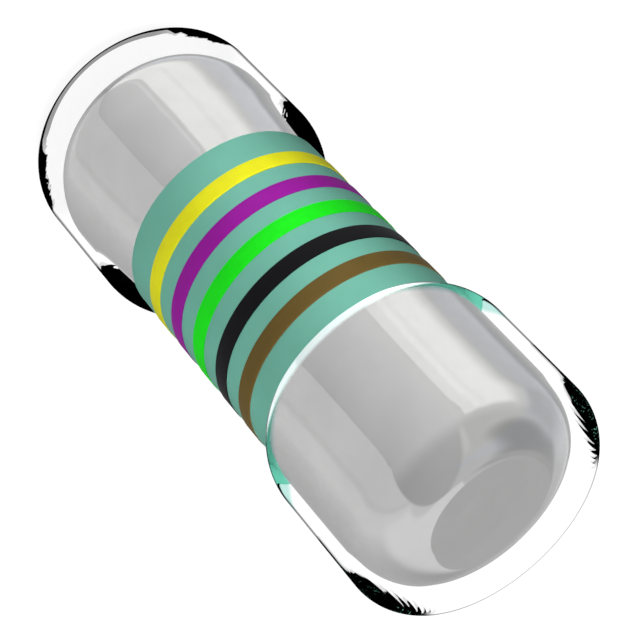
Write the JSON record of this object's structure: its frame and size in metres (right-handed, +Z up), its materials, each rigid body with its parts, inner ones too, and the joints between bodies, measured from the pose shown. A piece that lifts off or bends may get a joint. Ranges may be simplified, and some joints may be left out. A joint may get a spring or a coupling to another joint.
{
  "type": "melf resistor",
  "caption": "Cylindrical surface-mount film resistor with a lacquered body, colour-code rings and rounded end terminations.",
  "frame": {"origin": "centre of the lower end face, where the part stands", "axes": "+Z up along the axis, from the end nearest the yellow ring to the end nearest the brown ring"},
  "size_m": [0.0014, 0.0014, 0.0035],
  "materials": {
    "ceramic": "matt white alumina",
    "film": "thin grey nickel-chromium film",
    "cap": "smooth plated steel",
    "clear_shell": "clear and polished",
    "lacquer": "satin blue-green lacquer",
    "yellow": "satin ring lacquer",
    "violet": "satin ring lacquer",
    "green": "satin ring lacquer",
    "black": "satin ring lacquer",
    "brown": "satin ring lacquer"
  },
  "bodies": {
    "root": {"ceramic_rod": "ceramic", "resistor_film": "film", "end_cap_bottom": "cap", "end_cap_top": "cap", "clear_shell_bottom": "clear_shell", "clear_shell_top": "clear_shell", "lacquer_coat": "lacquer", "yellow_band": "yellow", "violet_band": "violet", "green_band": "green", "black_band": "black", "brown_band": "brown"}
  },
  "joints": []
}
